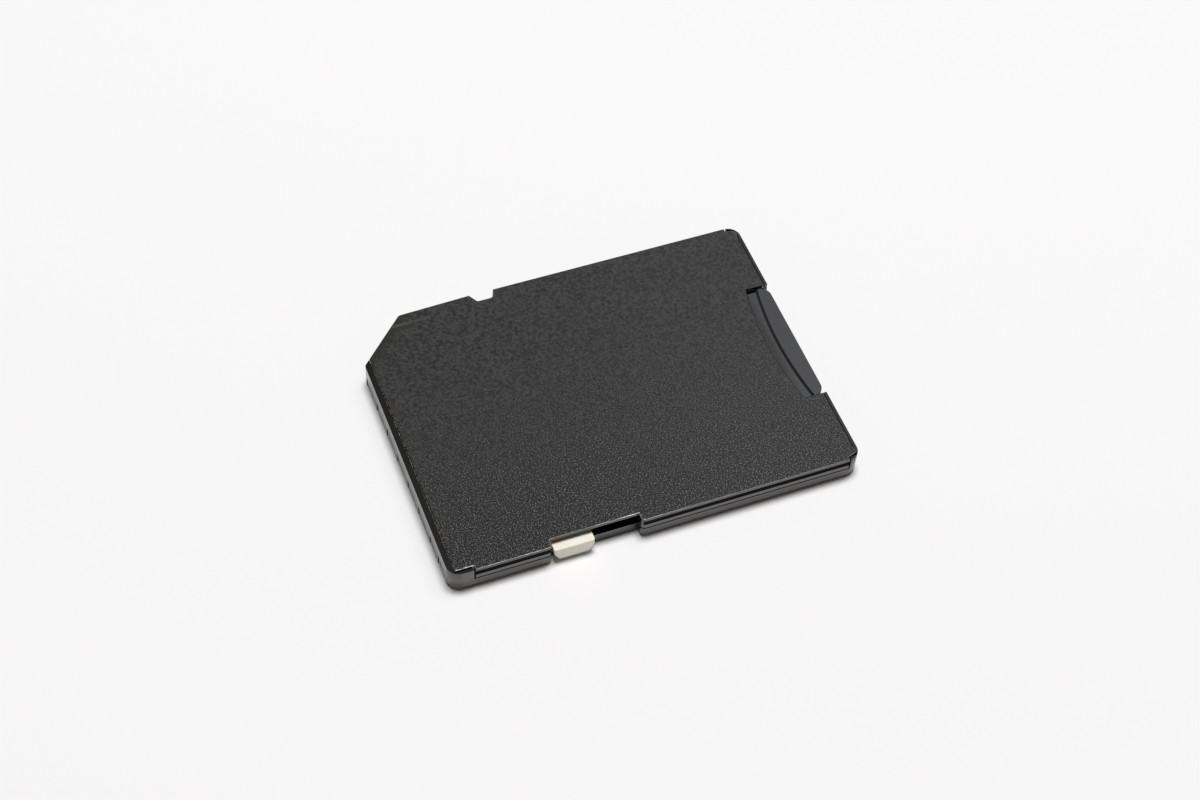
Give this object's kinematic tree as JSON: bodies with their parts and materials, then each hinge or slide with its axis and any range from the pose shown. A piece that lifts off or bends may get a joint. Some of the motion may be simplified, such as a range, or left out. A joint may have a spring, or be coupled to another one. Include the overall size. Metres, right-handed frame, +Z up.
{
  "type": "memory card adapter",
  "caption": "Full-size memory card adapter with a sliding write-protect switch and a small memory card seated in its rear slot.",
  "frame": {"origin": "centre of the adapter's box on its underside", "axes": "+Y towards the leading edge with the contacts, +X towards the side with the cut corner, +Z up to the label side"},
  "size_m": [0.024, 0.032, 0.0021],
  "materials": {
    "cover_plastic": "black moulded plastic with a fine spark-eroded grain",
    "shell_plastic": "smooth black moulded plastic, half gloss",
    "slider_plastic": "cream moulded plastic, satin",
    "card_plastic": "smooth dark grey epoxy moulding, matte",
    "card_board": "black solder mask over laminate",
    "contact_gold": "thin gold plating on copper alloy, satin",
    "silicon": "sawn silicon, polished"
  },
  "bodies": {
    "adapter": {"top_cover": "cover_plastic", "bottom_shell": "shell_plastic", "terminal_dat2": "contact_gold", "terminal_dat3": "contact_gold", "terminal_cmd": "contact_gold", "terminal_ground": "contact_gold", "terminal_vdd": "contact_gold", "terminal_clk": "contact_gold", "terminal_dat0": "contact_gold", "terminal_dat1": "contact_gold"},
    "slider": {"write_protect_slider": "slider_plastic"},
    "small_card": {"microsd_body": "card_plastic", "microsd_board": "card_board", "memory_die": "silicon", "controller_die": "silicon", "microsd_pad_1": "contact_gold", "microsd_pad_2": "contact_gold", "microsd_pad_3": "contact_gold", "microsd_pad_4": "contact_gold", "microsd_pad_5": "contact_gold", "microsd_pad_6": "contact_gold", "microsd_pad_7": "contact_gold", "microsd_pad_8": "contact_gold"}
  },
  "joints": [
    {"name": "write_protect", "type": "slide", "parent": "adapter", "child": "slider", "axis": [0, -1, 0], "range_m": [0, 0.0034]},
    {"name": "card_slide", "type": "slide", "parent": "adapter", "child": "small_card", "axis": [0, -1, 0], "range_m": [0, 0.016]}
  ]
}
